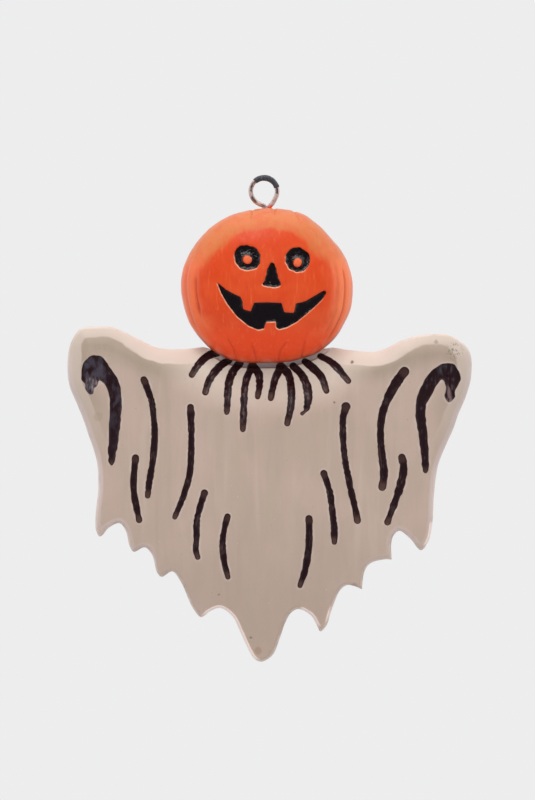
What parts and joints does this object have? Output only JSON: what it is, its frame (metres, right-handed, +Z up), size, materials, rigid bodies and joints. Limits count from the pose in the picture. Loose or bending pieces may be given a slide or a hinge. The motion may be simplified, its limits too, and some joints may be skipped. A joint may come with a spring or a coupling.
{
  "type": "hanging ghost ornament",
  "caption": "Flat-backed cast ghost with a carved pumpkin head, wide sleeves, engraved painted folds and a ragged hem, hung by a wire eye in the crown.",
  "frame": {"origin": "point under the top of the wire eye where a hook bears", "axes": "+Z up along the hanging line, +X to the right as seen from the front, +Y out of the flat back"},
  "size_m": [0.075, 0.015, 0.0901],
  "materials": {
    "robe_paint": "satin",
    "pumpkin_paint": "gloss",
    "face_enamel": "gloss",
    "fold_paint": "satin",
    "wire": "satin",
    "sleeve": "satin",
    "pin_steel": "satin"
  },
  "bodies": {
    "root": {"robe": "robe_paint", "pumpkin_head": "pumpkin_paint", "wire_loop": "wire", "loop_sleeve": "sleeve", "neck_pin": "pin_steel", "left_eye_fill": "face_enamel", "right_eye_fill": "face_enamel", "nose_fill": "face_enamel", "mouth_fill": "face_enamel", "fold_fill_left_1": "fold_paint", "fold_fill_left_2": "fold_paint", "fold_fill_left_3": "fold_paint", "fold_fill_left_4": "fold_paint", "fold_fill_left_5": "fold_paint", "fold_fill_left_6": "fold_paint", "fold_fill_right_1": "fold_paint", "fold_fill_right_2": "fold_paint", "fold_fill_right_3": "fold_paint", "fold_fill_right_4": "fold_paint", "fold_fill_right_5": "fold_paint", "fold_fill_right_6": "fold_paint", "gather_fill_1": "fold_paint", "gather_fill_2": "fold_paint", "gather_fill_3": "fold_paint", "gather_fill_4": "fold_paint", "gather_fill_5": "fold_paint", "gather_fill_6": "fold_paint", "gather_fill_7": "fold_paint", "gather_fill_8": "fold_paint"}
  },
  "joints": []
}
